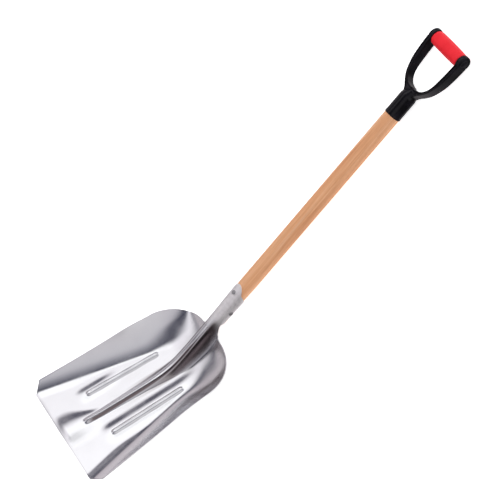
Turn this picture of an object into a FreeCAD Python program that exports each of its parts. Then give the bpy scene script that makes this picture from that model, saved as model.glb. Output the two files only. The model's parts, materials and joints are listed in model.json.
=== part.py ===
import FreeCAD, Part
import math
import os
import Sketcher

# A face-up scoop shovel: pressed aluminium blade, wooden shaft, moulded D-grip with a turning sleeve.
# Millimetres. The tool lies on its heel and on the collar of its grip, with the leading edge raised.
# +X is to the right, +Y runs from the leading edge to the grip, +Z is up.

Vector = FreeCAD.Vector

# name, value, what it is
DRIVING = [
    # blade
    ("sheetThickness", 1.8, "aluminium sheet of blade and socket"),
    ("edgeWidth", 247, "leading edge, corner to corner"),
    ("cornerFlare", 22, "how far each clipped corner stands out sideways"),
    ("cornerDepth", 22, "length of the clipped corner, front to back"),
    ("bladeLength", 385, "leading edge to the mouth of the socket, along the floor"),
    ("rimInset", 23, "how far each rim comes in from corner to shoulder"),
    ("shoulderDepth", 104, "rounded shoulder, from the end of the straight rim to the neck"),
    ("neckRound", 17, "hollow corner between shoulder and neck"),
    ("creaseSlope", 0.25, "how fast the floor narrows towards the neck"),
    ("creaseStart", 3, "how far outside the leading edge's corners the folds begin"),
    ("creaseBlend", 4, "half the width of the fold between floor and wall"),
    ("wallSlope", 0.24, "slope of the side wall at its fold"),
    ("wallCurve", 0.007, "how fast the side wall steepens"),
    ("shoulderEase", 0.13, "how much lower the wall gets round the shoulder"),
    ("easeLength", 60, "length over which it gets lower, half of it before the shoulder"),
    ("foldPower", 2.5, "how sharply wall and heel run into each other"),
    ("heelRadius", 100, "curve of the rear of the blade"),
    ("heelDepth", 100, "from the start of that curve to the neck"),
    ("heelSteepest", 50, "slope at which the curve ends and runs on straight, degrees"),
    ("ribOffset", 57, "stiffening rib, from the centre line"),
    ("ribStart", 88, "front end of the ribs"),
    ("ribSetback", 130, "rear end of the ribs, from the neck"),
    ("ribWidth", 12, "stiffening rib, foot to foot"),
    ("ribHeight", 2.8, "stiffening rib above the floor"),
    ("frogStart", 50, "front tip of the middle ridge"),
    ("frogHeight", 4, "middle ridge above the floor, at the front"),
    ("frogTip", 0.3, "half width of the middle ridge at its tip, as a share of its waist"),
    ("frogWaist", 17, "half width of the middle ridge along the floor"),
    ("frogRoot", 30, "half width of the middle ridge at the neck"),
    # socket and shaft
    ("liftAngle", 31.5, "shaft above the blade floor, degrees"),
    ("neckHeight", 71, "shaft axis above the floor at the mouth of the socket"),
    ("socketLength", 95, "socket, from the mouth to the tip of its tongue"),
    ("tongueLength", 17, "tongue beyond the shoulders of the socket"),
    ("tongueRoot", 0.55, "height of the tongue's shoulders above the axis, as a share of its tip's"),
    ("socketSlant", 13, "how much shorter the socket is underneath"),
    ("socketRoot", 12, "how far the socket reaches forward under the blade"),
    ("neckOverlap", 7, "how far the blade runs back over the socket"),
    ("neckTrim", 0.5, "how much narrower than the socket the blade is there, each side"),
    ("shaftDiameter", 34.4, "wooden shaft"),
    ("shaftLength", 598, "wooden shaft, end to end"),
    ("shaftTip", 28.6, "diameter of the shaft's lower end"),
    ("taperLength", 106, "tapered lower end of the shaft"),
    ("shaftChamfer", 1.5, "broken edge at the shaft's ends"),
    ("woodGap", 0.1, "between the wood and what holds it"),
    # rivets and screw
    ("upperRivetPlace", 74, "front to back rivet, from the mouth of the socket"),
    ("lowerRivetPlace", 34, "side to side rivet, from the mouth of the socket"),
    ("rivetDiameter", 5, "rivet shank"),
    ("rivetHead", 9.5, "rivet head"),
    ("rivetDome", 1.9, "height of the rivet head"),
    ("domeShoulder", 0.8, "height of the dome halfway out, as a share of its top"),
    ("screwDiameter", 4, "fixing screw of the grip"),
    ("screwHead", 8, "head of the fixing screw"),
    ("screwSunk", 0.4, "how far the screw head lies below the surface"),
    ("screwBite", 12, "how far the screw goes into the wood"),
    ("screwPlace", 18, "fixing screw, from the collar's mouth"),
    ("holeGap", 0.1, "round the rivets, the screw and the plugs"),
    # grip
    ("tenonDiameter", 30.4, "upper end of the shaft, inside the grip"),
    ("seatDepth", 43, "how deep the shaft sits in the grip"),
    ("ferruleWall", 2.7, "wall of the grip's socket"),
    ("collarHeight", 0.5, "raised collar at the mouth of the grip's socket"),
    ("collarLength", 4, "length of that collar"),
    ("crossbarHeight", 171, "crossbar above the mouth of the grip's socket"),
    ("crotchHeight", 69, "bottom of the hand opening above the mouth"),
    ("crotchRadius", 40, "round bottom of the hand opening"),
    ("armSpacing", 87, "between the arms at the crossbar"),
    ("armThickness", 9.6, "arm, inside to outside"),
    ("armDepth", 24, "arm, front to back"),
    ("grooveDepth", 2.6, "hollow along the outside of the arm"),
    ("grooveWidth", 15, "width of that hollow, front to back"),
    ("bossDiameter", 33.6, "round ends that hold the crossbar"),
    ("bossInset", 1.6, "how far each round end stands inside its arm"),
    ("rodDiameter", 8, "steel crossbar"),
    ("sleeveDiameter", 32.6, "turning sleeve"),
    ("sleeveCrown", 0.8, "how much thinner the sleeve is at its ends"),
    ("sleeveRound", 2.5, "rounded rim of the sleeve"),
    ("runningGap", 0.06, "between rod and sleeve, all round"),
    ("sideGap", 0.6, "between each end of the sleeve and the grip"),
    ("rodGap", 0.05, "round the fixed ends of the rod"),
    ("rodChamfer", 0.6, "broken edge of the rod"),
    ("plugDome", 0.6, "how far a plug stands out"),
    ("neckShare", 0.72, "neck between the grip's socket and its arms, as a share of the socket"),
    ("neckStart", 4, "how far that neck reaches back over the shaft's seat"),
    ("neckLength", 10, "straight part of that neck, beyond the seat"),
    ("noseStart", 4, "end of the grip's round socket, beyond the seat"),
    ("noseShoulder", 15, "where its nose has narrowed, beyond the seat"),
    ("noseShare", 0.7, "the nose there, as a share of the socket"),
    ("noseLength", 22, "tip of the nose, beyond the seat"),
    ("neckBend", 16, "hollow corner between that neck and the arms"),
    ("armRoot", 23, "half width where the arms leave the neck"),
    ("rootDrop", 3, "how far below the hand opening that is"),
    ("armSweep", 83, "curve of the outside of the arm"),
    ("sweepRise", 12, "end of that curve, above the round bottom of the hand opening"),
    ("plugDiameter", 14, "plug over each end of the rod"),
    ("plugThickness", 3, "plug, inside to outside"),
]

DERIVED = [
    ("shaftRadius", "=shaftDiameter / 2"),
    ("tipRadius", "=shaftTip / 2"),
    ("taperRate", "=(shaftRadius - tipRadius) / taperLength"),
    ("ferruleMouth", "=shaftLength - seatDepth"),
    ("seatRadius", "=tenonDiameter / 2 + woodGap"),
    ("ferruleRadius", "=seatRadius + ferruleWall"),
    ("crossbarPlace", "=ferruleMouth + crossbarHeight"),
    ("armInside", "=armSpacing / 2"),
    ("armOutside", "=armInside + armThickness"),
    ("bossInside", "=armInside - bossInset"),
    ("bossRadius", "=bossDiameter / 2"),
    ("rodRadius", "=rodDiameter / 2"),
    ("sleeveHalf", "=bossInside - sideGap"),
    ("sleeveRadius", "=sleeveDiameter / 2"),
    ("sleeveBore", "=rodRadius + runningGap"),
    ("rodHalf", "=armOutside - plugThickness"),
    ("bendHeight", "=crotchHeight + crotchRadius"),
    ("armBend", "=crotchRadius + armThickness"),
    ("neckHalf", "=ferruleRadius * neckShare"),
    ("tenonRadius", "=tenonDiameter / 2"),
]


def makeSheet(doc):
    """The sheet of sizes: driving values first, worked-out ones below."""
    sheet = doc.addObject("Spreadsheet::Sheet", "sizes")
    row = 1
    for alias, value, note in DRIVING:
        sheet.set("A%d" % row, alias)
        sheet.set("B%d" % row, str(value))
        sheet.set("C%d" % row, note)
        sheet.setAlias("B%d" % row, alias)
        row += 1
    doc.recompute()
    for alias, formula in DERIVED:
        sheet.set("A%d" % row, alias)
        sheet.set("B%d" % row, formula)
        sheet.setAlias("B%d" % row, alias)
        row += 1
        doc.recompute()
    return sheet


# ---- helpers for sketches ----

def cells(expression):
    """Turns bare names in an expression into references to the sheet."""
    names = [entry[0] for entry in DRIVING + DERIVED]
    words = []
    word = ""
    for letter in expression + " ":
        if letter.isalnum():
            word += letter
            continue
        words.append("sizes." + word if word in names else word)
        words.append(letter)
        word = ""
    return "".join(words).strip()


def number(sheet, expression):
    """The value of such an expression, for a sketch's first guess."""
    return float(sheet.evalExpression(cells(expression)))


def addBody(doc, label):
    body = doc.addObject("PartDesign::Body", label)
    body.Label = label
    return body


def addSketch(body, name, plane):
    sketch = body.newObject("Sketcher::SketchObject", name)
    for feature in body.Origin.OriginFeatures:
        if feature.Role == plane:
            sketch.AttachmentSupport = [(feature, "")]
    sketch.MapMode = "FlatFace"
    return sketch


def bind(sketch, constraint, expression):
    index = sketch.addConstraint(constraint)
    sketch.setExpression("Constraints[%d]" % index, cells(expression))


def addLoop(sheet, sketch, points):
    """A closed loop. Each point is (x, y) in expressions; a third entry is the radius of the
    arc that leads on to the next point, positive when it turns left."""
    places = [Vector(number(sheet, entry[0]), number(sheet, entry[1]), 0) for entry in points]
    first = sketch.GeometryCount
    count = len(points)
    for i in range(count):
        start = places[i]
        end = places[(i + 1) % count]
        if len(points[i]) == 2:
            sketch.addGeometry(Part.LineSegment(start, end), False)
            continue
        radius = number(sheet, points[i][2])
        chord = end - start
        middle = (start + end) * 0.5
        side = Vector(-chord.y, chord.x, 0).normalize()
        reach = math.sqrt(max(0.0, radius ** 2 - (chord.Length / 2) ** 2))
        centre = middle + side * math.copysign(reach, radius)
        crown = centre - side * radius
        sketch.addGeometry(Part.Arc(start, crown, end), False)
    for i in range(count):
        here = first + i
        after = first + (i + 1) % count
        turnsRight = len(points[i]) == 3 and number(sheet, points[i][2]) < 0
        nextRight = len(points[(i + 1) % count]) == 3 and number(sheet, points[(i + 1) % count][2]) < 0
        ending = 1 if turnsRight else 2
        beginning = 2 if nextRight else 1
        sketch.addConstraint(Sketcher.Constraint("Coincident", here, ending, after, beginning))
        if len(points[i]) == 3:
            radius = abs(number(sheet, points[i][2]))
            bind(sketch, Sketcher.Constraint("Radius", here, radius), "abs(%s)" % points[i][2])
    for i in range(count):
        startEnd = 2 if len(points[i]) == 3 and number(sheet, points[i][2]) < 0 else 1
        for axis, value, expression in (
            ("DistanceX", places[i].x, points[i][0]),
            ("DistanceY", places[i].y, points[i][1]),
        ):
            bind(sketch, Sketcher.Constraint(axis, -1, 1, first + i, startEnd, value), expression)


def addCircle(sheet, sketch, x, y, radius):
    centre = Vector(number(sheet, x), number(sheet, y), 0)
    index = sketch.addGeometry(Part.Circle(centre, Vector(0, 0, 1), number(sheet, radius)), False)
    bind(sketch, Sketcher.Constraint("Radius", index, number(sheet, radius)), radius)
    bind(sketch, Sketcher.Constraint("DistanceX", -1, 1, index, 3, centre.x), x)
    bind(sketch, Sketcher.Constraint("DistanceY", -1, 1, index, 3, centre.y), y)


# ---- the blade's pressed surface, in the blade's own frame: floor underside at z 0, leading edge at y 0 ----

def ramp(value, blend):
    """Zero, then rising with slope 1; a parabola joins the two."""
    if value < -blend:
        return 0.0
    if value > blend:
        return value
    return (value + blend) ** 2 / (4 * blend)


def easeIn(value):
    """0 below 0, 1 above 1, smooth between."""
    held = min(max(value, 0.0), 1.0)
    return held * held * (3 - 2 * held)


class Blade:
    """The height of the blade's underside over its plan, and the lines it is cut to."""

    def __init__(self, sheet):
        for alias, value, note in DRIVING:
            setattr(self, alias, float(sheet.get(alias)))
        for alias, formula in DERIVED:
            setattr(self, alias, float(sheet.get(alias)))
        self.edgeHalf = self.edgeWidth / 2
        self.cornerHalf = self.edgeHalf + self.cornerFlare
        self.shoulderHalf = self.cornerHalf - self.rimInset
        self.shoulderStart = self.bladeLength - self.shoulderDepth
        self.heelStart = self.bladeLength - self.heelDepth
        self.lift = math.radians(self.liftAngle)
        self.neckRadius = self.boreRadius(0) + self.sheetThickness

    def boreRadius(self, along):
        """Inside of the socket, from its mouth."""
        return self.tipRadius + self.taperRate * along + self.woodGap

    def heel(self, y):
        """The rear of the floor curves up as an arc, and runs on straight once it is steep."""
        run = y - self.heelStart
        if run <= 0:
            return 0.0
        steepest = math.radians(self.heelSteepest)
        limit = self.heelRadius * math.sin(steepest)
        if run < limit:
            return self.heelRadius - math.sqrt(self.heelRadius ** 2 - run ** 2)
        return self.heelRadius * (1 - math.cos(steepest)) + (run - limit) * math.tan(steepest)

    def wall(self, x, y):
        out = ramp(abs(x) - (self.edgeHalf + self.creaseStart - self.creaseSlope * y), self.creaseBlend)
        easing = easeIn((y - self.shoulderStart) / self.easeLength + 0.5)
        lower = 1 - self.shoulderEase * easing
        return out * (self.wallSlope + self.wallCurve * out) * lower

    def frog(self, x, y):
        """The ridge from the floor up into the socket, above the heel."""
        apexY = self.bladeLength - self.neckRadius * math.sin(self.lift)
        apexZ = self.neckHeight + self.neckRadius * math.cos(self.lift) - 0.3 * self.sheetThickness
        rise = math.tan(self.lift + math.atan(self.taperRate))
        line = apexZ - self.sheetThickness + (y - apexY) * rise
        crest = (line + self.frogHeight + math.hypot(line - self.frogHeight, 2 * self.frogHeight)) / 2
        widening = easeIn((y - self.frogStart) / self.frogStart)
        flaring = easeIn((y - self.heelStart) / self.heelDepth)
        half = self.frogWaist * (self.frogTip + (1 - self.frogTip) * widening)
        half += (self.frogRoot - self.frogWaist) * flaring
        if abs(x) >= half:
            return 0.0
        nose = easeIn((y - self.frogStart) / (0.5 * self.frogStart))
        return (crest - self.heel(y)) * nose * math.cos(math.pi / 2 * x / half) ** 2

    def rib(self, x, y):
        """Flat-topped bead with rounded ends."""
        half = self.ribWidth / 2
        start = self.ribStart + half
        end = self.bladeLength - self.ribSetback - half
        beyond = max(start - y, y - end, 0.0)
        away = math.hypot(abs(x) - self.ribOffset, beyond)
        return self.ribHeight * easeIn((half - away) / (0.6 * half))

    def height(self, x, y):
        wall = self.wall(x, y)
        heel = self.heel(y)
        base = (wall ** self.foldPower + heel ** self.foldPower) ** (1 / self.foldPower)
        return base + self.frog(x, y) + self.rib(x, y)

    def under(self, x, y):
        return Vector(x, y, self.height(x, y))

    def upper(self, x, y):
        """The same point on the upper face, one thickness away along the normal."""
        step = 0.05
        alongX = self.under(x + step, y) - self.under(x - step, y)
        alongY = self.under(x, y + step) - self.under(x, y - step)
        return self.under(x, y) + alongX.cross(alongY).normalize() * self.sheetThickness

    def socketPoint(self, along, up):
        """A point in the plane of symmetry, from distances along and above the shaft axis."""
        y = self.bladeLength + along * math.cos(self.lift) - up * math.sin(self.lift)
        z = self.neckHeight + along * math.sin(self.lift) + up * math.cos(self.lift)
        return Vector(0, y, z)

    def tilt(self):
        """How far the tool tips back until the heel and whatever is lowest behind it meet the ground."""
        boss = self.socketPoint(self.crossbarPlace, 0)
        collar = self.socketPoint(self.ferruleMouth, -self.ferruleRadius - self.collarHeight)
        wood = self.socketPoint(self.ferruleMouth, -self.shaftRadius)
        angles = []
        for place, radius in ((boss, self.bossRadius), (collar, 0), (wood, 0)):
            run = place.y - self.heelStart
            rise = place.z - self.heelRadius
            apart = math.hypot(run, rise)
            angles.append(math.atan2(rise, run) + math.asin((self.heelRadius - radius) / apart))
        return min(angles)


def stations(stops):
    """Evenly spaced values between the stops; each stop is (value, spacing up to the next)."""
    values = []
    for (start, spacing), (end, unused) in zip(stops, stops[1:]):
        steps = max(1, round((end - start) / spacing))
        values += [start + (end - start) * i / steps for i in range(steps)]
    return values + [stops[-1][0]]


def skin(grid):
    surface = Part.BSplineSurface()
    surface.interpolate(grid)
    return surface


def pressedSheet(blade):
    """A solid with the blade's curvature, larger than the blade all round."""
    half = 0.7 * blade.ribWidth
    reach = blade.cornerHalf + 8
    side = stations([
        (0, 3), (blade.frogRoot, 5), (blade.ribOffset - half, 1.5), (blade.ribOffset + half, 6), (reach, 0),
    ])
    columns = [-x for x in reversed(side[1:])] + side
    ribEnd = blade.bladeLength - blade.ribSetback
    rows = stations([
        (-6, 8), (blade.frogStart - 2, 4), (blade.ribStart - 2, 1.8), (blade.ribStart + half, 9),
        (ribEnd - half, 1.8), (ribEnd + 2, 5), (blade.bladeLength + 10, 0),
    ])
    faces = []
    surfaces = []
    for point in (blade.under, blade.upper):
        surface = skin([[point(x, y) for y in rows] for x in columns])
        surfaces.append(surface)
        faces.append(surface.toShape())
    under, upper = surfaces
    for isoline, place in (
        ("uIso", 0.0), ("uIso", 1.0), ("vIso", 0.0), ("vIso", 1.0),
    ):
        below = getattr(under, isoline)(place).toShape()
        above = getattr(upper, isoline)(place).toShape()
        faces.append(Part.makeRuledSurface(below, above))
    shell = Part.makeShell(faces)
    shell.sewShape()
    solid = Part.makeSolid(shell)
    if solid.Volume < 0:
        solid.reverse()
    return solid


def planPrism(blade):
    """The blade's outline seen from above, as an upright prism."""
    neck = blade.neckRadius - blade.neckTrim
    inner = neck + blade.neckRound
    across = blade.shoulderHalf - inner
    deep = blade.shoulderDepth - blade.neckRound
    rear = blade.bladeLength + blade.neckOverlap
    edges = []
    for side in (1, -1):
        corner = Vector(side * blade.edgeHalf, 0, 0)
        flare = Vector(side * blade.cornerHalf, blade.cornerDepth, 0)
        shoulder = Vector(side * blade.shoulderHalf, blade.shoulderStart, 0)
        hollow = Vector(side * inner, blade.shoulderStart + deep, 0)
        throat = Vector(side * neck, blade.bladeLength, 0)
        end = Vector(side * neck, rear, 0)
        edges.append(Part.LineSegment(Vector(0, 0, 0), corner))
        edges.append(Part.LineSegment(corner, flare))
        edges.append(Part.LineSegment(flare, shoulder))
        # shoulder: a quarter of an ellipse, whose longer half axis comes first
        tips = [(across, shoulder), (deep, hollow)]
        tips.sort(key=lambda tip: -tip[0])
        centre = Vector(side * inner, blade.shoulderStart, 0)
        ellipse = Part.Ellipse(tips[0][1], tips[1][1], centre)
        edges.append(Part.ArcOfEllipse(ellipse, 0, math.pi / 2))
        diagonal = blade.neckRound * math.sqrt(0.5)
        bend = Vector(side * (inner - diagonal), blade.bladeLength - diagonal, 0)
        edges.append(Part.Arc(hollow, bend, throat))
        edges.append(Part.LineSegment(throat, end))
        edges.append(Part.LineSegment(end, Vector(0, rear, 0)))
    wires = [edge.toShape() for edge in edges]
    outline = Part.Wire(Part.__sortEdges__(wires))
    floor = Part.Face(outline)
    below = 20
    floor.translate(Vector(0, 0, -below))
    return floor.extrude(Vector(0, 0, below + 3 * blade.heelRadius))


def alongShaft(blade, place=0.0, turn=0.0):
    """From a piece's own frame, with Y along the shaft, to the blade's frame."""
    rotation = FreeCAD.Rotation(Vector(1, 0, 0), blade.liftAngle)
    rotation = rotation.multiply(FreeCAD.Rotation(Vector(0, 1, 0), turn))
    return FreeCAD.Placement(blade.socketPoint(place, 0), rotation)


def cone(start, startRadius, end, endRadius):
    """A cone along Y."""
    return Part.makeCone(startRadius, endRadius, end - start, Vector(0, start, 0), Vector(0, 1, 0))


def bladeShape(blade):
    """Pressed sheet with its rolled socket, in the blade's frame."""
    thickness = blade.sheetThickness
    front = -blade.socketRoot
    tip = blade.socketLength
    outside = cone(front, blade.boreRadius(front) + thickness, tip, blade.boreRadius(tip) + thickness)
    overrun = 5.0
    inside = cone(front, blade.boreRadius(front), tip + overrun, blade.boreRadius(tip + overrun))
    # the socket's end: a tongue in front, and a slant down to the back
    top = blade.boreRadius(tip) + thickness + 1
    shoulder = tip - blade.tongueLength
    points = [
        Vector(0, tip, top), Vector(0, shoulder, blade.tongueRoot * top),
        Vector(0, shoulder - blade.socketSlant, -top),
        Vector(0, tip + 2 * overrun, -top), Vector(0, tip + 2 * overrun, top), Vector(0, tip, top),
    ]
    cutter = Part.Face(Part.makePolygon(points))
    cutter.translate(Vector(-2 * top, 0, 0))
    cutter = cutter.extrude(Vector(4 * top, 0, 0))
    holes = []
    for place, direction in (
        (blade.upperRivetPlace, Vector(0, 0, 1)), (blade.lowerRivetPlace, Vector(1, 0, 0)),
    ):
        radius = blade.rivetDiameter / 2 + blade.holeGap
        start = Vector(0, place, 0) - direction * 2 * top
        holes.append(Part.makeCylinder(radius, 4 * top, start, direction))
    placement = alongShaft(blade)
    for tool in [outside, inside, cutter] + holes:
        tool.Placement = placement
    sheet = pressedSheet(blade).common(planPrism(blade))
    joined = sheet.fuse(outside.cut(cutter))
    for tool in [inside] + holes:
        joined = joined.cut(tool)
    solids = joined.Solids
    solids.sort(key=lambda solid: solid.Volume)
    return solids[-1]


# ---- the pieces along the shaft; each is drawn with Y along the shaft ----

def revolve(sheet, body, name, points, plane="XY_Plane", about="V_Axis"):
    sketch = addSketch(body, name + "Profile", plane)
    addLoop(sheet, sketch, points)
    turned = body.newObject("PartDesign::Revolution", name)
    turned.Profile = sketch
    turned.ReferenceAxis = (sketch, [about])
    turned.Angle = 360
    return turned


def extrude(body, kind, name, sketch, depth, bothWays=True):
    """A Pad or a Pocket, its depth split evenly unless it goes one way only."""
    made = body.newObject("PartDesign::" + kind, name)
    made.Profile = sketch
    made.setExpression("Length", cells(depth))
    made.Midplane = bothWays
    return made


def disc(sheet, body, kind, name, plane, x, y, radius, depth, bothWays=True):
    sketch = addSketch(body, name + "Circle", plane)
    addCircle(sheet, sketch, x, y, radius)
    return extrude(body, kind, name, sketch, depth, bothWays)


def groove(sheet, body, name, place, points):
    """A round cut about an upright line in the plane of symmetry, at the given place along the shaft."""
    sketch = addSketch(body, name + "Profile", "YZ_Plane")
    start = Vector(number(sheet, place), 0, 0)
    sketch.addGeometry(Part.LineSegment(start, start + Vector(0, 10, 0)), True)
    bind(sketch, Sketcher.Constraint("DistanceX", -1, 1, 0, 1, start.x), place)
    bind(sketch, Sketcher.Constraint("DistanceX", -1, 1, 0, 2, start.x), place)
    sketch.addConstraint(Sketcher.Constraint("DistanceY", -1, 1, 0, 1, 0))
    sketch.addConstraint(Sketcher.Constraint("DistanceY", -1, 1, 0, 2, 10))
    addLoop(sheet, sketch, points)
    cut = body.newObject("PartDesign::Groove", name)
    cut.Profile = sketch
    cut.ReferenceAxis = (sketch, ["Axis0"])
    cut.Angle = 360
    return cut


def makeShaft(doc, sheet, blade):
    """Turned wood: a tapered tenon below, a plain end in the grip above."""
    body = addBody(doc, "wooden_shaft")
    revolve(sheet, body, "turned", [
        ("0", "0"),
        ("tipRadius - shaftChamfer", "0"),
        ("tipRadius + taperRate * shaftChamfer", "shaftChamfer"),
        ("shaftRadius", "taperLength"),
        ("shaftRadius", "ferruleMouth"),
        ("tenonRadius", "ferruleMouth"),
        ("tenonRadius", "shaftLength - shaftChamfer"),
        ("tenonRadius - shaftChamfer", "shaftLength"),
        ("0", "shaftLength"),
    ])
    hole = "rivetDiameter / 2 + holeGap"
    disc(sheet, body, "Pocket", "upperHole", "XY_Plane", "0", "upperRivetPlace", hole, "shaftDiameter * 2")
    disc(sheet, body, "Pocket", "lowerHole", "YZ_Plane", "lowerRivetPlace", "0", hole, "shaftDiameter * 2")
    disc(sheet, body, "Pocket", "pilotHole", "XY_Plane", "0", "ferruleMouth + screwPlace",
         "screwDiameter / 2 + holeGap", "shaftDiameter", bothWays=False)
    return body, alongShaft(blade)


def makeRivet(doc, sheet, blade, label, placeName, turn):
    """Domed head, shank and a domed tail closed over the far side."""
    body = addBody(doc, label)
    seat = "(tipRadius + taperRate * (%s + rivetHead / 2) + woodGap + sheetThickness)" % placeName
    revolve(sheet, body, "formed", [
        ("0", "-%s - rivetDome" % seat),
        ("rivetHead / 4", "-%s - rivetDome * domeShoulder" % seat),
        ("rivetHead / 2", "-%s" % seat),
        ("rivetDiameter / 2", "-%s" % seat),
        ("rivetDiameter / 2", seat),
        ("rivetHead / 2", seat),
        ("rivetHead / 4", seat + " + rivetDome * domeShoulder"),
        ("0", seat + " + rivetDome"),
    ], plane="XZ_Plane")
    return body, alongShaft(blade, getattr(blade, placeName), turn)


def makeYoke(doc, sheet, blade):
    """Moulded Y: a socket for the shaft, two arms and the round ends that carry the crossbar."""
    body = addBody(doc, "grip_yoke")
    right = [
        ("neckHalf", "seatDepth - neckStart"),
        ("neckHalf", "seatDepth + neckLength", "-neckBend"),
        ("armRoot", "crotchHeight - rootDrop", "armSweep"),
        ("armBend", "bendHeight + sweepRise"),
        ("armOutside", "crossbarHeight - bossRadius"),
        ("armOutside", "crossbarHeight"),
        ("armInside", "crossbarHeight"),
        ("crotchRadius", "bendHeight", "-crotchRadius"),
        ("0", "crotchHeight", "-crotchRadius"),
    ]
    left = [
        ("-crotchRadius", "bendHeight"),
        ("-armInside", "crossbarHeight"),
        ("-armOutside", "crossbarHeight"),
        ("-armOutside", "crossbarHeight - bossRadius"),
        ("-armBend", "bendHeight + sweepRise", "armSweep"),
        ("-armRoot", "crotchHeight - rootDrop", "-neckBend"),
        ("-neckHalf", "seatDepth + neckLength"),
        ("-neckHalf", "seatDepth - neckStart"),
    ]
    sketch = addSketch(body, "armOutline", "XY_Plane")
    addLoop(sheet, sketch, right + left)
    extrude(body, "Pad", "arms", sketch, "armDepth")
    revolve(sheet, body, "ferrule", [
        ("0", "0"),
        ("ferruleRadius + collarHeight", "0"),
        ("ferruleRadius + collarHeight", "collarLength - collarHeight"),
        ("ferruleRadius", "collarLength"),
        ("ferruleRadius", "seatDepth + noseStart"),
        ("ferruleRadius * noseShare", "seatDepth + noseShoulder"),
        ("0", "seatDepth + noseLength"),
    ])
    disc(sheet, body, "Pad", "bosses", "YZ_Plane", "crossbarHeight", "0", "bossRadius", "armOutside * 2")
    disc(sheet, body, "Pocket", "plugBores", "YZ_Plane", "crossbarHeight", "0",
         "plugDiameter / 2 + holeGap", "armOutside * 2 + 2")
    disc(sheet, body, "Pad", "plugFloors", "YZ_Plane", "crossbarHeight", "0",
         "plugDiameter / 2 + holeGap", "rodHalf * 2")
    disc(sheet, body, "Pocket", "rodBores", "YZ_Plane", "crossbarHeight", "0",
         "rodRadius + rodGap", "armOutside * 2 + 2")
    disc(sheet, body, "Pocket", "sleeveSpace", "YZ_Plane", "crossbarHeight", "0",
         "bossRadius + 2", "bossInside * 2")
    disc(sheet, body, "Pocket", "shaftSeat", "XZ_Plane", "0", "0", "seatRadius", "seatDepth * 2")
    wide = "screwPlace + screwHead / 2 + holeGap"
    narrow = "screwPlace + screwDiameter / 2 + holeGap"
    groove(sheet, body, "screwHole", "screwPlace", [
        ("screwPlace", "-ferruleRadius - 1"),
        (wide, "-ferruleRadius - 1"),
        (wide, "-ferruleRadius + screwSunk"),
        (narrow, "-ferruleRadius + screwSunk + (screwHead - screwDiameter) / 2"),
        (narrow, "-seatRadius + 1"),
        ("screwPlace", "-seatRadius + 1"),
    ])
    for side, name in (("", "rightHollow"), ("-", "leftHollow")):
        corners = [
            (side + "(armBend - grooveDepth)", "bendHeight + sweepRise"),
            (side + "(armBend + 5)", "bendHeight + sweepRise"),
            (side + "(armOutside + 2)", "crossbarHeight - bossRadius - 2"),
            (side + "(armOutside - grooveDepth)", "crossbarHeight - bossRadius - 2"),
        ]
        sketch = addSketch(body, name + "Outline", "XY_Plane")
        addLoop(sheet, sketch, corners)
        extrude(body, "Pocket", name, sketch, "grooveWidth")
    return body, alongShaft(blade, blade.ferruleMouth)


def makeScrew(doc, sheet, blade):
    """Countersunk screw from below, through the grip's socket into the wood."""
    body = addBody(doc, "ferrule_screw")
    tip = "(tenonRadius - screwBite)"
    revolve(sheet, body, "turned", [
        ("0", "-ferruleRadius + screwSunk"),
        ("screwHead / 2", "-ferruleRadius + screwSunk"),
        ("screwDiameter / 2", "-ferruleRadius + screwSunk + (screwHead - screwDiameter) / 2"),
        ("screwDiameter / 2", "-%s - screwDiameter" % tip),
        ("0", "-" + tip),
    ], plane="XZ_Plane")
    return body, alongShaft(blade, blade.ferruleMouth + blade.screwPlace)


def makeRod(doc, sheet, blade):
    body = addBody(doc, "crossbar_rod")
    revolve(sheet, body, "turned", [
        ("-rodHalf", "0"),
        ("rodHalf", "0"),
        ("rodHalf", "rodRadius - rodChamfer"),
        ("rodHalf - rodChamfer", "rodRadius"),
        ("-rodHalf + rodChamfer", "rodRadius"),
        ("-rodHalf", "rodRadius - rodChamfer"),
    ], about="H_Axis")
    return body, alongShaft(blade, blade.crossbarPlace)


def makePlug(doc, sheet, blade, label, side):
    """Snap-in plug over the end of the crossbar, a little domed outside."""
    body = addBody(doc, label)
    revolve(sheet, body, "moulded", [
        (side + "rodHalf", "0"),
        (side + "rodHalf", "plugDiameter / 2"),
        (side + "armOutside", "plugDiameter / 2"),
        (side + "(armOutside + plugDome)", "plugDiameter / 4"),
        (side + "(armOutside + plugDome)", "0"),
    ], about="H_Axis")
    return body, alongShaft(blade, blade.crossbarPlace)


def makeSleeve(doc, sheet, blade):
    """Tube that turns on the crossbar, a little thicker in the middle."""
    body = addBody(doc, "grip_sleeve")
    crown = "((sleeveHalf - sleeveRound) ^ 2 + sleeveCrown ^ 2) / (2 * sleeveCrown)"
    revolve(sheet, body, "moulded", [
        ("-sleeveHalf", "sleeveBore"),
        ("sleeveHalf", "sleeveBore"),
        ("sleeveHalf", "sleeveRadius - sleeveCrown - sleeveRound", "sleeveRound"),
        ("sleeveHalf - sleeveRound", "sleeveRadius - sleeveCrown", crown),
        ("-sleeveHalf + sleeveRound", "sleeveRadius - sleeveCrown", "sleeveRound"),
        ("-sleeveHalf", "sleeveRadius - sleeveCrown - sleeveRound"),
    ], about="H_Axis")
    return body, alongShaft(blade, blade.crossbarPlace)


def makeBlade(doc, blade):
    feature = doc.addObject("Part::Feature", "scoop_blade")
    feature.Label = "scoop_blade"
    feature.Shape = bladeShape(blade)
    return feature, FreeCAD.Placement()


def lieDown(blade):
    """From the blade's frame to the tool at rest, centred over the origin."""
    angle = blade.tilt()
    rotation = FreeCAD.Rotation(Vector(1, 0, 0), -math.degrees(angle))
    heelCentre = rotation.multVec(Vector(0, blade.heelStart, blade.heelRadius))
    rear = rotation.multVec(blade.socketPoint(blade.crossbarPlace, 0)).y + blade.bossRadius
    return FreeCAD.Placement(Vector(0, -rear / 2, blade.heelRadius - heelCentre.z), rotation)


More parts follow.
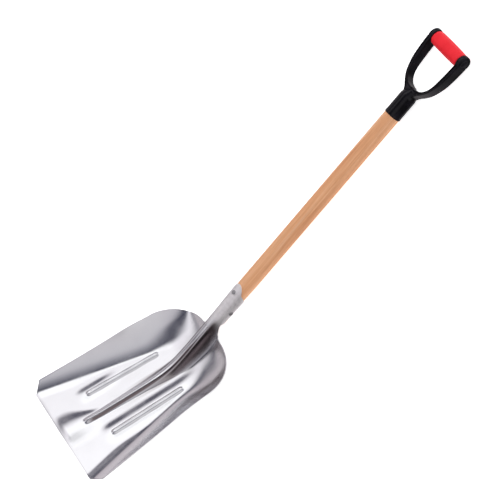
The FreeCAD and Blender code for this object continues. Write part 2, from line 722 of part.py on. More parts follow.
def check(pieces):
    """Stops if anything in the document failed, or a piece is not one sound solid."""
    for thing in pieces[0].Document.Objects:
        for word in ("Invalid", "Error"):
            if word in thing.State:
                raise RuntimeError("%s is %s" % (thing.Name, word))
    for piece in pieces:
        shape = piece.Shape
        if shape.isNull() or not shape.isValid() or len(shape.Solids) != 1:
            raise RuntimeError("%s is not one valid solid" % piece.Label)


def main():
    doc = FreeCAD.newDocument("scoop_shovel")
    sheet = makeSheet(doc)
    blade = Blade(sheet)
    made = [
        makeBlade(doc, blade),
        makeShaft(doc, sheet, blade),
        makeRivet(doc, sheet, blade, "upper_socket_rivet", "upperRivetPlace", 0),
        makeRivet(doc, sheet, blade, "lower_socket_rivet", "lowerRivetPlace", 90),
        makeYoke(doc, sheet, blade),
        makeScrew(doc, sheet, blade),
        makeRod(doc, sheet, blade),
        makePlug(doc, sheet, blade, "right_rod_plug", ""),
        makePlug(doc, sheet, blade, "left_rod_plug", "-"),
        makeSleeve(doc, sheet, blade),
    ]
    rest = lieDown(blade)
    pieces = []
    for piece, placement in made:
        piece.Placement = rest.multiply(placement)
        pieces.append(piece)
    doc.recompute()
    check(pieces)
    os.makedirs("parts", exist_ok=True)
    for piece in pieces:
        piece.Shape.exportStep("parts/%s.step" % piece.Label)
        box = piece.Shape.BoundBox
        print("%-20s %8.1f %8.1f %8.1f  volume %.0f" % (
            piece.Label, box.XLength, box.YLength, box.ZLength, piece.Shape.Volume))
    print("tilt %.2f degrees" % math.degrees(blade.tilt()))


main()
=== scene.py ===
import json
import math

import bmesh
import bpy
from mathutils import Matrix, Vector


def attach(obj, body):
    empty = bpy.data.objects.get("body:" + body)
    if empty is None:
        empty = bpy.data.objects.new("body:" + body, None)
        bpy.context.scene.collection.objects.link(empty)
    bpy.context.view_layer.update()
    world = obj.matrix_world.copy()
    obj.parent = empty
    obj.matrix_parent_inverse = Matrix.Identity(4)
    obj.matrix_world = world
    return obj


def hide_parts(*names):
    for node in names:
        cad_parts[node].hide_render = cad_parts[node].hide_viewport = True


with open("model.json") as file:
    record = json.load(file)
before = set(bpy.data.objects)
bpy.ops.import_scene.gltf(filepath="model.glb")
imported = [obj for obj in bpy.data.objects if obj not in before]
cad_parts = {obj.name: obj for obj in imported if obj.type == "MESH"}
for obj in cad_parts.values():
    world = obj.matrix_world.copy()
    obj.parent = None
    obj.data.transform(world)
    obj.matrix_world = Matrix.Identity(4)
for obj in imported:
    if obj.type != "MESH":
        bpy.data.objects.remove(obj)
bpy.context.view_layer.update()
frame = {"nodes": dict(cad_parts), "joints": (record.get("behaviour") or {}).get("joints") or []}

mm = 0.001

# Sizes are in millimetres, unless a note says otherwise. They are drawn in the shovel's own frame,
# with the blade's floor flat and +Y towards the grip; toFrame lays the shovel down.
layout = {
    "bladeLength": 385.0,      # leading edge to the mouth of the socket
    "neckHeight": 71.0,        # shaft axis above the floor there
    "liftAngle": 31.5,         # shaft above the blade floor, degrees
    "heelRadius": 100.0,
    "heelDepth": 100.0,
    "ferruleMouth": 555.0,     # along the shaft from the mouth of the socket
    "crossbarPlace": 726.0,
    "collarRadius": 18.5,
}


def easeIn(value):
    held = min(max(value, 0.0), 1.0)
    return held * held * (3 - 2 * held)


def standing(value, marks):
    # grows from the first mark to the second and fades from the third to the fourth
    low, full, fading, gone = marks
    return easeIn((value - low) / (full - low)) * (1 - easeIn((value - fading) / (gone - fading)))


def blend(first, second, share):
    return first + (second - first) * share


def pointOnShaft(along, up=0.0):
    lift = math.radians(layout["liftAngle"])
    y = layout["bladeLength"] + along * math.cos(lift) - up * math.sin(lift)
    z = layout["neckHeight"] + along * math.sin(lift) + up * math.cos(lift)
    return Vector((0, y, z))


def lyingDown():
    # the tool rolls back on its heel until the grip's collar meets the floor
    heelStart = layout["bladeLength"] - layout["heelDepth"]
    radius = layout["heelRadius"]
    collar = pointOnShaft(layout["ferruleMouth"], -layout["collarRadius"])
    run = collar.y - heelStart
    rise = collar.z - radius
    tilt = math.atan2(rise, run) + math.asin(radius / math.hypot(run, rise))
    turn = Matrix.Rotation(-tilt, 4, "X")
    heelCentre = turn @ Vector((0, heelStart, radius))
    crossbar = turn @ pointOnShaft(layout["crossbarPlace"])
    pivot = Vector(frame["joints"][0]["pos_m"]) / mm
    shift = Vector((0, pivot.y - crossbar.y, radius - heelCentre.z))
    return Matrix.Scale(mm, 4) @ Matrix.Translation(shift) @ turn


toFrame = lyingDown()


def alongShaft(place, turn=0.0):
    # from a piece drawn with Y along the shaft to the frame
    lift = Matrix.Rotation(math.radians(layout["liftAngle"]), 4, "X")
    roll = Matrix.Rotation(math.radians(turn), 4, "Y")
    return toFrame @ Matrix.Translation(pointOnShaft(place)) @ lift @ roll


def startMaterial(name, **values):
    material = bpy.data.materials.new(name)
    material.use_nodes = True
    nodes = material.node_tree.nodes
    shader = nodes["Principled BSDF"]
    for socket, value in values.items():
        shader.inputs[socket.replace("_", " ")].default_value = value
    return material, nodes, material.node_tree.links, shader


def objectPoints(nodes, links, stretch=(1, 1, 1)):
    place = nodes.new("ShaderNodeTexCoord")
    mapping = nodes.new("ShaderNodeMapping")
    mapping.inputs["Scale"].default_value = stretch
    links.new(place.outputs["Object"], mapping.inputs["Vector"])
    return mapping.outputs["Vector"]


def noise(nodes, links, points, scale, detail=4.0, roughness=0.5, distortion=0.0):
    made = nodes.new("ShaderNodeTexNoise")
    made.inputs["Scale"].default_value = scale
    made.inputs["Detail"].default_value = detail
    made.inputs["Roughness"].default_value = roughness
    made.inputs["Distortion"].default_value = distortion
    links.new(points, made.inputs["Vector"])
    return made.outputs["Fac"]


def ramp(nodes, links, factor, stops):
    made = nodes.new("ShaderNodeValToRGB")
    elements = made.color_ramp.elements
    while len(elements) < len(stops):
        elements.new(0.5)
    for element, (place, colour) in zip(elements, stops):
        element.position = place
        element.color = (*colour, 1)
    links.new(factor, made.inputs["Fac"])
    return made.outputs["Color"]


def spread(nodes, links, factor, low, high, start=0.0, end=1.0):
    made = nodes.new("ShaderNodeMapRange")
    made.interpolation_type = "SMOOTHSTEP"
    made.inputs["From Min"].default_value = start
    made.inputs["From Max"].default_value = end
    made.inputs["To Min"].default_value = low
    made.inputs["To Max"].default_value = high
    links.new(factor, made.inputs["Value"])
    return made.outputs["Result"]


def combine(nodes, links, first, second, operation="ADD"):
    made = nodes.new("ShaderNodeMath")
    made.operation = operation
    links.new(first, made.inputs[0])
    if isinstance(second, float):
        made.inputs[1].default_value = second
    else:
        links.new(second, made.inputs[1])
    return made.outputs["Value"]


def mixColours(nodes, links, share, first, second, kind="MIX"):
    made = nodes.new("ShaderNodeMix")
    made.data_type = "RGBA"
    made.blend_type = kind
    if isinstance(share, float):
        made.inputs["Factor"].default_value = share
    else:
        links.new(share, made.inputs["Factor"])
    for socket, value in (("A", first), ("B", second)):
        target = [entry for entry in made.inputs if entry.name == socket and entry.type == "RGBA"][0]
        if isinstance(value, tuple):
            target.default_value = (*value, 1)
        else:
            links.new(value, target)
    return [entry for entry in made.outputs if entry.type == "RGBA"][0]


def addBump(nodes, links, shader, height, strength, distance, below=None):
    made = nodes.new("ShaderNodeBump")
    made.inputs["Strength"].default_value = strength
    made.inputs["Distance"].default_value = distance * mm
    links.new(height, made.inputs["Height"])
    if below is not None:
        links.new(below, made.inputs["Normal"])
    links.new(made.outputs["Normal"], shader.inputs["Normal"])
    return made.outputs["Normal"]


def splitAxis(nodes, links, points, axis):
    made = nodes.new("ShaderNodeSeparateXYZ")
    links.new(points, made.inputs["Vector"])
    return made.outputs[axis]


def dotWith(nodes, links, points, direction):
    made = nodes.new("ShaderNodeVectorMath")
    made.operation = "DOT_PRODUCT"
    made.inputs[1].default_value = direction
    links.new(points, made.inputs[0])
    return made.outputs["Value"]


# In the materials, colours and roughness go with the noise values they stand beside,
# a noise is (scale, detail, roughness), a shine is (roughness from, to, noise from, to)
# and a bump is (strength, depth in mm).
aluminium = {
    "clean": ((0.3, (0.74, 0.74, 0.765)), (0.7, (0.80, 0.80, 0.82))),
    "dull": ((0.35, (0.86, 0.83, 0.835)), (0.65, (0.98, 0.955, 0.955))),
    "polished": (0.15, 0.23, 0.3, 0.7),
    "matt": (0.42, 0.52, 0.3, 0.7),
    "neck": (-0.225, -0.165),          # where the polish gives way, along the frame's Y, in metres
    "neckMetal": 0.70,                 # the handled socket has dulled to a grey skin
    "clouds": (22, 5, 0.55),
    "mottle": (160, 4, 0.6),
    "grit": (420, 3, 0.6),
    "gritBump": (0.06, 0.10),
    "streakStretch": (260, 14, 90),
    "streaks": (1.0, 5, 0.6),
    "streakShine": 0.06,
    "streakBump": (0.015, 0.02),
    "paintedShadeColour": (0.20, 0.165, 0.17),    # painted shade in the hollows beside the ridge and a painted dark reflection on its right flank
    "paintedShadeAcross": (4.0, 11.0, 15.0, 23.0),      # mm from the middle: grows, full, fades, gone
    "paintedShadeAlong": (130.0, 300.0, 366.0, 390.0),
    # where a dark reflection is painted on the ridge's right flank: mm across, then along
    "paintedFlankAcross": (1.5, 3.5, 6.5, 10.0),
    "paintedFlankAlong": (54.0, 74.0, 300.0, 366.0),
}


def between(nodes, links, value, marks, start=0.0):
    # the same as standing, for a length in metres and marks in millimetres past the start
    low, full, fading, gone = [mark * mm + start for mark in marks]
    rising = spread(nodes, links, value, 0, 1, low, full)
    falling = spread(nodes, links, value, 1, 0, fading, gone)
    return combine(nodes, links, rising, falling, "MULTIPLY")


# painted shade in the hollows on both sides of the ridge, and a painted dark reflection on its right flank
def paintedShadeMask(nodes, links, points):
    ahead = (toFrame.to_3x3() @ Vector((0, 1, 0))).normalized()
    origin = toFrame.translation.dot(ahead)
    right = splitAxis(nodes, links, points, "X")
    side = combine(nodes, links, right, 0.0, "ABSOLUTE")
    forward = dotWith(nodes, links, points, ahead)
    across = between(nodes, links, side, aluminium["paintedShadeAcross"])
    along = between(nodes, links, forward, aluminium["paintedShadeAlong"], origin)
    hollowShade = combine(nodes, links, across, along, "MULTIPLY")
    across = between(nodes, links, right, aluminium["paintedFlankAcross"])
    along = between(nodes, links, forward, aluminium["paintedFlankAlong"], origin)
    flankShade = combine(nodes, links, across, along, "MULTIPLY")
    return combine(nodes, links, hollowShade, flankShade, "MAXIMUM")


def makeAluminium():
    material, nodes, links, shader = startMaterial("pressed_aluminium", Metallic=1.0)
    points = objectPoints(nodes, links)
    clouds = noise(nodes, links, points, *aluminium["clouds"])
    mottle = noise(nodes, links, points, *aluminium["mottle"])
    drawn = objectPoints(nodes, links, aluminium["streakStretch"])
    streaks = noise(nodes, links, drawn, *aluminium["streaks"])
    neck = spread(nodes, links, splitAxis(nodes, links, points, "Y"), 0, 1, *aluminium["neck"])
    clean = ramp(nodes, links, clouds, aluminium["clean"])
    dull = ramp(nodes, links, mottle, aluminium["dull"])
    skin = mixColours(nodes, links, neck, clean, dull)
    # the painted shade and painted dark reflection darken the aluminium's colour beside the ridge
    shadeMask = paintedShadeMask(nodes, links, points)
    colour = mixColours(nodes, links, shadeMask, skin, aluminium["paintedShadeColour"])
    links.new(colour, shader.inputs["Base Color"])
    links.new(spread(nodes, links, neck, 1, aluminium["neckMetal"]), shader.inputs["Metallic"])
    polish = spread(nodes, links, clouds, *aluminium["polished"])
    matt = spread(nodes, links, mottle, *aluminium["matt"])
    brushed = combine(nodes, links, streaks, aluminium["streakShine"], "MULTIPLY")
    low = combine(nodes, links, polish, brushed)
    change = combine(nodes, links, matt, low, "SUBTRACT")
    change = combine(nodes, links, change, neck, "MULTIPLY")
    links.new(combine(nodes, links, low, change), shader.inputs["Roughness"])
    fine = addBump(nodes, links, shader, streaks, *aluminium["streakBump"])
    grit = noise(nodes, links, points, *aluminium["grit"])
    coarse = combine(nodes, links, grit, neck, "MULTIPLY")
    addBump(nodes, links, shader, coarse, *aluminium["gritBump"], fine)
    return material


wood = {
    "figure": ((0.28, (0.63, 0.28, 0.13)), (0.5, (0.78, 0.40, 0.205)), (0.7, (0.86, 0.52, 0.32))),
    "grain": ((0.3, (0.80, 0.76, 0.72)), (0.6, (1, 1, 1))),
    "pores": ((0.30, (0.72, 0.62, 0.55)), (0.42, (1, 1, 1))),
    "ringStretch": (60, 2.6, 60),
    "ringNoise": (1.0, 3, 0.5, 0.6),   # the last is how much the rings wander
    "grainStretch": (420, 9, 420),
    "grainNoise": (1.0, 5, 0.65),
    "grainShare": 0.7,
    "poreStretch": (1500, 40, 1500),
    "poreNoise": (1.0, 2, 0.5),
    "poreShare": 0.45,
    "shine": (0.5, 0.36, 0.3, 0.7),
    "specular": 0.3,
    "bump": (0.25, 0.10),
}


def makeWood():
    material, nodes, links, shader = startMaterial("oiled_wood", Specular_IOR_Level=wood["specular"])
    rings = noise(nodes, links, objectPoints(nodes, links, wood["ringStretch"]), *wood["ringNoise"])
    grain = noise(nodes, links, objectPoints(nodes, links, wood["grainStretch"]), *wood["grainNoise"])
    pores = noise(nodes, links, objectPoints(nodes, links, wood["poreStretch"]), *wood["poreNoise"])
    figure = ramp(nodes, links, rings, wood["figure"])
    fine = ramp(nodes, links, grain, wood["grain"])
    toned = mixColours(nodes, links, wood["grainShare"], figure, fine, "MULTIPLY")
    marks = ramp(nodes, links, pores, wood["pores"])
    colour = mixColours(nodes, links, wood["poreShare"], toned, marks, "MULTIPLY")
    links.new(colour, shader.inputs["Base Color"])
    links.new(spread(nodes, links, grain, *wood["shine"]), shader.inputs["Roughness"])
    addBump(nodes, links, shader, combine(nodes, links, grain, pores), *wood["bump"])
    return material


blackPlastic = {
    "name": "black_plastic",
    "specular": 0.22,
    "colours": ((0.35, (0.003, 0.003, 0.004)), (0.65, (0.008, 0.007, 0.011))),
    "stretch": (1, 1, 1),
    "clouds": (45, 3, 0.5),
    "grain": (1500, 3, 0.6),
    "shine": (0.17, 0.25, 0.3, 0.7),
    "bump": (0.12, 0.05),
}
redPlastic = {
    "name": "red_plastic",
    "specular": 0.22,
    "colours": ((0.3, (0.86, 0.018, 0.03)), (0.7, (0.95, 0.03, 0.045))),
    "stretch": (60, 25, 25),
    "clouds": (1.0, 3, 0.5),
    "grain": (1300, 4, 0.6),
    "shine": (0.42, 0.54, 0.3, 0.7),
    "bump": (0.25, 0.08),
}


def makePlastic(look):
    material, nodes, links, shader = startMaterial(look["name"], Specular_IOR_Level=look["specular"])
    broad = noise(nodes, links, objectPoints(nodes, links, look["stretch"]), *look["clouds"])
    grain = noise(nodes, links, objectPoints(nodes, links), *look["grain"])
    links.new(ramp(nodes, links, broad, look["colours"]), shader.inputs["Base Color"])
    links.new(spread(nodes, links, broad, *look["shine"]), shader.inputs["Roughness"])
    addBump(nodes, links, shader, combine(nodes, links, grain, broad), *look["bump"])
    return material


steel = {
    "name": "bright_steel",
    "colours": ((0.3, (0.48, 0.48, 0.50)), (0.7, (0.62, 0.62, 0.64))),
    "clouds": (150, 2, 0.5),
    "grain": (900, 4, 0.6),
    "shine": (0.25, 0.42, 0.3, 0.7),
    "bump": (0.2, 0.04),
}
rivetMetal = {
    "name": "rivet_metal",
    "colours": ((0.3, (0.40, 0.39, 0.40)), (0.7, (0.60, 0.59, 0.60))),
    "clouds": (500, 3, 0.6),
    "grain": (500, 3, 0.6),
    "shine": (0.34, 0.5, 0.3, 0.7),
    "bump": (0.35, 0.15),
}


def makeMetal(look):
    material, nodes, links, shader = startMaterial(look["name"], Metallic=1.0)
    points = objectPoints(nodes, links)
    broad = noise(nodes, links, points, *look["clouds"])
    grain = noise(nodes, links, points, *look["grain"])
    links.new(ramp(nodes, links, broad, look["colours"]), shader.inputs["Base Color"])
    links.new(spread(nodes, links, grain, *look["shine"]), shader.inputs["Roughness"])
    addBump(nodes, links, shader, grain, *look["bump"])
    return material


def finishPiece(name, mesh, material, nodes, body, sharpAngle=40):
    for polygon in mesh.polygons:
        polygon.use_smooth = True
    mesh.set_sharp_from_angle(angle=math.radians(sharpAngle))
    mesh.materials.append(material)
    piece = bpy.data.objects.new(name, mesh)
    bpy.context.scene.collection.objects.link(piece)
    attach(piece, body)
    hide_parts(*nodes)
    return piece


spinAxes = {                   # the axis, and the way out from it that the profile is drawn in
    "X": (Vector((1, 0, 0)), Vector((0, 0, 1))),
    "Y": (Vector((0, 1, 0)), Vector((1, 0, 0))),
    "Z": (Vector((0, 0, 1)), Vector((1, 0, 0))),
}


def spun(profile, axis, steps=64):
    # profile: (distance along the axis, radius) from end to end
    bm = bmesh.new()
    along, out = spinAxes[axis]
    line = [bm.verts.new(along * place + out * radius) for place, radius in profile]
    edges = [bm.edges.new(pair) for pair in zip(line, line[1:])]
    bmesh.ops.spin(bm, geom=line + edges, axis=along, cent=(0, 0, 0), angle=2 * math.pi,
                   steps=steps, use_merge=True)
    bmesh.ops.remove_doubles(bm, verts=bm.verts[:], dist=0.001)
    bmesh.ops.dissolve_degenerate(bm, edges=bm.edges[:], dist=0.0005)
    bmesh.ops.recalc_face_normals(bm, faces=bm.faces[:])
    return bm


def arcPoints(centre, radius, start, end, count):
    # (along, radius) points on a rounded rim, angles in degrees
    points = []
    for i in range(count + 1):
        angle = math.radians(blend(start, end, i / count))
        points.append((centre[0] + radius * math.cos(angle), centre[1] + radius * math.sin(angle)))
    return points


def toMesh(bm, name, matrix):
    bm.transform(matrix)
    mesh = bpy.data.meshes.new(name)
    bm.to_mesh(mesh)
    bm.free()
    return mesh


shaft = {
    "radius": 17.2,
    "length": 598.0,
    "tipRadius": 14.3,
    "tipSwell": 0.04,          # how much the taper gains over the first chamfer
    "taper": 106.0,
    "taperRate": 0.02736,
    "woodGap": 0.1,            # between the wood and the socket
    "mouth": 555.0,            # where the wood steps down into the grip
    "mouthEdge": 0.3,
    "tenonRadius": 15.2,
    "chamfer": 1.5,
    "around": 96,
}
blade = {
    "thickness": 1.8,
    "edgeHalf": 123.5,         # leading edge, half
    "cornerFlare": 22.0,
    "cornerDepth": 22.0,
    "shoulderHalf": 122.5,
    "shoulderStart": 281.0,
    "turnover": 0.86,          # share of the shoulder's rows before the hollow corner of the neck
    "neckHalf": 16.5,
    "neckRound": 17.0,
    # folds and walls
    "creaseSlope": 0.25,
    "creaseStart": 3.0,
    "creaseBlend": (4.0, 17.0),        # rounding of the fold, in front and at the heel
    "creaseAlong": (225.0, 315.0),     # where it changes
    "heelDraw": 8.0,           # how much nearer the folds run at the heel
    "heelDrawAlong": (245.0, 325.0),
    "heelDrawReach": 45.0,     # only the fold comes nearer, the rim stays
    "wallSlope": 0.24,
    "wallCurve": 0.007,
    "shoulderEase": 0.36,
    "shoulderEaseAlong": (215.0, 345.0),
    # heel
    "heelAngle": 50.0,         # its steepest slope, degrees
    "lift": 7.0,               # how much the heel stands above its rounded line
    "liftAlong": (243.0, 323.0, 323.0, 385.0),
    "foldPower": 1.4,          # how softly the walls run into the heel, 1 is softest
    # ribs
    "ribOffset": 57.0,
    "ribToe": 3.5,             # how far the ribs come in from front to back
    "ribStart": 88.0,
    "ribEnd": 257.0,
    "ribHalf": 6.0,
    "ribHeight": 3.0,
    "ribFlank": 0.6,           # width of its sides, as a share of its half width
    "ribGroove": 0.55,         # depth of the groove in its top
    "ribGrooveHalf": 0.45,     # half width of that groove, as a share of the rib's
    # slow rises of the drawn sheet: (start, top, level again) across, (grows, full, fades, gone) along
    "slowSlope": 0.14,
    "slowRun": 0.70,           # share of the climb that is left by its rounded ends
    "slowEase": 0.42,
    "rightRise": (26.0, 49.0, 84.0),
    "rightRiseAlong": (64.0, 94.0, 262.0, 317.0),
    "leftRise": (-80.0, -63.0, -36.0),
    "leftRiseAlong": (64.0, 88.0, 115.0, 175.0),
    "frontRise": (-52.0, -9.0, 46.0),
    "frontRiseAlong": (0.0, 14.0, 70.0, 98.0),
    "frontNarrowing": (20.0, 98.0),
    "frontNarrowest": 8.0,
    "foldRise": 18.0,          # how far inside the folds the floor starts to climb
    "foldRiseAlong": (60.0, 190.0),
    "foldRiseSoft": 3.0,
    "leftFold": 0.35,          # how much of that the left fold has
    # turned down leading edge
    "lip": (3.0, 9.0),         # width, right and left
    "lipAcross": (10.0, -110.0),
    "lipDrop": 0.16,
    # middle ridge
    "frogStart": 50.0,
    "frogNose": 14.0,
    "frogHeight": 4.0,
    "frogTip": 7.5,            # half widths, from the front
    "frogWaist": 14.0,
    "frogWaistStart": 210.0,
    "frogRoot": 21.0,
    "frogFlare": (190.0, 300.0),       # where the ridge swells into a tube towards the neck
    "frogFullness": 0.75,
    "frogRounding": 20.0,      # how gently it lifts off the floor
    "frogSink": 0.3,           # of the sheet's thickness, below the socket's own line
    # socket
    "socketLength": 95.0,
    "tongueLength": 17.0,
    "tongueRoot": 0.55,        # height of its shoulders, as a share of the socket's radius
    "socketSlant": 13.0,
    "seamGap": 0.8,
    "seamPlace": 40.0,         # where that gap is measured
    "joining": 0.84,           # share of the shoulder's rows before the sheet starts to close round the wood
    "closing": 0.4,            # share of the socket's length over which it closes
    # mesh and edges
    "innerHalf": 75.0,         # the middle strip, whose columns run straight
    "columns": (60, 30),       # from the middle out, in that strip and beyond it
    "rows": (10, 118, 60, 40),         # corner, straight rim, shoulder, socket
    "edgeRound": 0.35,
    "edgeSteps": 2,
    "edgeAngle": 60,
}


def boreRadius(along):
    return shaft["tipRadius"] + shaft["taperRate"] * along + shaft["woodGap"]


def easeOver(value, reach):
    start, end = reach
    return easeIn((value - start) / (end - start))


def heelHeight(y):
    run = y - (layout["bladeLength"] - layout["heelDepth"])
    if run <= 0:
        return 0.0
    radius = layout["heelRadius"]
    steepest = math.radians(blade["heelAngle"])
    limit = radius * math.sin(steepest)
    if run < limit:
        return radius - math.sqrt(radius ** 2 - run ** 2)
    return radius * (1 - math.cos(steepest)) + (run - limit) * math.tan(steepest)


def heelLift(y):
    # the sheet starts to climb a little before the heel's own round
    return blade["lift"] * standing(y, blade["liftAlong"])


def pastFold(x, y):
    # how far out a point is from the line of the fold
    return abs(x) - (blade["edgeHalf"] + blade["creaseStart"] - blade["creaseSlope"] * y)


def wallHeight(x, y):
    out = pastFold(x, y)
    drawn = blade["heelDraw"] * easeOver(y, blade["heelDrawAlong"])
    out += drawn * (1 - easeIn(out / blade["heelDrawReach"]))
    fold = blend(*blade["creaseBlend"], easeOver(y, blade["creaseAlong"]))
    if out < -fold:
        return 0.0
    if out < fold:
        out = (out + fold) ** 2 / (4 * fold)
    lower = 1 - blade["shoulderEase"] * easeOver(y, blade["shoulderEaseAlong"])
    return out * (blade["wallSlope"] + blade["wallCurve"] * out) * lower


def frogRise(x, y):
    start = blade["frogStart"]
    widening = min(max((y - start) / (blade["frogWaistStart"] - start), 0), 1)
    flaring = easeOver(y, blade["frogFlare"])
    half = blend(blade["frogTip"], blade["frogWaist"], widening)
    half += (blade["frogRoot"] - blade["frogWaist"]) * flaring
    if abs(x) >= half:
        return 0.0
    # the crest runs level from the front and bends up into the line of the socket
    thickness = blade["thickness"]
    lift = math.radians(layout["liftAngle"])
    neckRadius = boreRadius(0) + thickness
    apexY = layout["bladeLength"] - neckRadius * math.sin(lift)
    apexZ = layout["neckHeight"] + neckRadius * math.cos(lift) - blade["frogSink"] * thickness
    climb = math.tan(lift + math.atan(shaft["taperRate"]))
    line = apexZ - thickness + (y - apexY) * climb
    low = blade["frogHeight"]
    crest = (line + low + math.hypot(line - low, blade["frogRounding"])) / 2
    nose = easeIn((y - start) / blade["frogNose"])
    away = (abs(x) / half) ** (1 + blade["frogFullness"] * flaring)
    return (crest - heelHeight(y) - heelLift(y)) * nose * math.cos(math.pi / 2 * away) ** 2


def ribRise(x, y):
    half = blade["ribHalf"]
    start = blade["ribStart"] + half
    end = blade["ribEnd"] - half
    offset = blade["ribOffset"] - blade["ribToe"] * (y - start) / (end - start)
    away = math.hypot(abs(x) - offset, max(start - y, y - end, 0.0))
    bead = blade["ribHeight"] * easeIn((half - away) / (blade["ribFlank"] * half))
    groove = blade["ribGroove"] * easeIn(1 - away / (blade["ribGrooveHalf"] * half))
    return bead - groove


def softRamp(share):
    # 0 to 1, straight but for its rounded ends
    ease = blade["slowEase"]
    held = min(max(share, 0.0), 1.0)
    slope = 1 / (1 - ease)
    if held < ease:
        return slope * held ** 2 / (2 * ease)
    if held > 1 - ease:
        return 1 - slope * (1 - held) ** 2 / (2 * ease)
    return slope * (held - ease / 2)


def slowRise(x, start, top, end):
    # climbs from start to top at the drawn sheet's slope, then falls away to end
    height = blade["slowRun"] * blade["slowSlope"] * (top - start)
    return height * (softRamp((x - start) / (top - start)) - softRamp((x - top) / (end - top)))


def foldRise(x, y):
    # the floor climbs a little before it reaches a fold
    width = blade["foldRise"] * (1 - easeOver(y, blade["foldRiseAlong"]))
    away = min(width + pastFold(x, y), width)
    soft = blade["foldRiseSoft"]
    slope = blade["slowSlope"] * (1 if x > 0 else blade["leftFold"])
    if away <= 0:
        return 0.0
    if away < soft:
        return slope * away ** 2 / (2 * soft)
    return slope * (away - soft / 2)


def slowRises(x, y):
    # the sheet is drawn up a little round every bead and before every fold
    shift = blade["ribToe"] * (y - blade["ribStart"]) / (blade["ribEnd"] - blade["ribStart"])
    across = [place - shift for place in blade["rightRise"]]
    height = standing(y, blade["rightRiseAlong"]) * slowRise(x, *across)
    height += standing(y, blade["leftRiseAlong"]) * slowRise(x, *blade["leftRise"])
    start, top, end = blade["frontRise"]
    start = blend(start, top - blade["frontNarrowest"], easeOver(y, blade["frontNarrowing"]))
    height += standing(y, blade["frontRiseAlong"]) * slowRise(x, start, top, end)
    height += foldRise(x, y)
    lip = blend(*blade["lip"], easeOver(x, blade["lipAcross"]))
    return height - blade["lipDrop"] * max(lip - y, 0) ** 2 / lip


def sheetHeight(x, y):
    power = blade["foldPower"]
    base = (wallHeight(x, y) ** power + (heelHeight(y) + heelLift(y)) ** power) ** (1 / power)
    return base + frogRise(x, y) + ribRise(x, y) + slowRises(x, y)


def rimHalf(y):
    # half width of the blade between the leading edge and the shoulders
    if y < blade["cornerDepth"]:
        return blade["edgeHalf"] + blade["cornerFlare"] * y / blade["cornerDepth"]
    share = (y - blade["cornerDepth"]) / (blade["shoulderStart"] - blade["cornerDepth"])
    return blend(blade["edgeHalf"] + blade["cornerFlare"], blade["shoulderHalf"], share)


def shoulderPoint(share):
    # along the rounded shoulder and the hollow corner of the neck, 0 to 1
    across = blade["shoulderHalf"] - blade["neckHalf"] - blade["neckRound"]
    deep = layout["bladeLength"] - blade["shoulderStart"] - blade["neckRound"]
    turnover = blade["turnover"]
    if share < turnover:
        angle = math.pi / 2 * share / turnover
        x = blade["neckHalf"] + blade["neckRound"] + across * math.cos(angle)
        return x, blade["shoulderStart"] + deep * math.sin(angle)
    angle = math.pi / 2 * (share - turnover) / (1 - turnover)
    x = blade["neckHalf"] + blade["neckRound"] * (1 - math.sin(angle))
    return x, layout["bladeLength"] - blade["neckRound"] * math.cos(angle)


def socketEnd(turn):
    # how far the socket reaches, by the angle round it: a tongue above, a slant below
    height = math.cos(turn)
    shoulder = blade["socketLength"] - blade["tongueLength"]
    root = blade["tongueRoot"]
    if height > root:
        return shoulder + blade["tongueLength"] * (height - root) / (1 - root)
    return shoulder - blade["socketSlant"] * (root - height) / (1 + root)


def socketPoint(share, along, closing):
    # share -1 to 1 round the socket, along 0 to 1 from the neck to its end, closing 0 open to 1 closed
    radius = boreRadius(blade["seamPlace"])
    widest = math.pi - blade["seamGap"] / radius
    turn = share * blend(math.pi / 2, widest, closing)
    lift = math.radians(layout["liftAngle"])
    start = radius * math.tan(lift) * math.cos(turn)
    place = blend(start, socketEnd(turn), along)
    radius = boreRadius(place)
    point = pointOnShaft(place, radius * math.cos(turn))
    return Vector((radius * math.sin(turn), point.y, point.z))


def bladeColumns():
    # (across, share of the way from the middle strip to the rim)
    inner = blade["innerHalf"]
    within, beyond = blade["columns"]
    middle = [inner * i / within for i in range(within + 1)]
    outer = [(i + 1) / beyond for i in range(beyond)]
    right = [(x, 0.0) for x in middle] + [(inner, share) for share in outer]
    left = [(-x, -share) for x, share in reversed(right[1:])]
    return left + right


def bladePoint(column, row):
    x, outside = column
    kind, value = row
    if kind == "blade":
        reach = x + outside * (rimHalf(value) - blade["innerHalf"])
        return Vector((reach, value, sheetHeight(reach, value)))
    across = (x + outside * (blade["shoulderHalf"] - blade["innerHalf"])) / blade["shoulderHalf"]
    if kind == "socket":
        return socketPoint(across, value, easeIn(value / blade["closing"]))
    rimX, rimY = shoulderPoint(value)
    middleY = blend(blade["shoulderStart"], layout["bladeLength"], value)
    reach = rimX * across
    y = blend(middleY, rimY, across * across)
    sheet = Vector((reach, y, sheetHeight(reach, y)))
    joining = easeOver(value, (blade["joining"], 1))
    if joining == 0:
        return sheet
    back = (value - 1) * (layout["bladeLength"] - blade["shoulderStart"])
    tube = socketPoint(across, 0.0, 0.0)
    tube += Vector((0, back, back * math.tan(math.radians(layout["liftAngle"]))))
    return sheet.lerp(tube, joining)


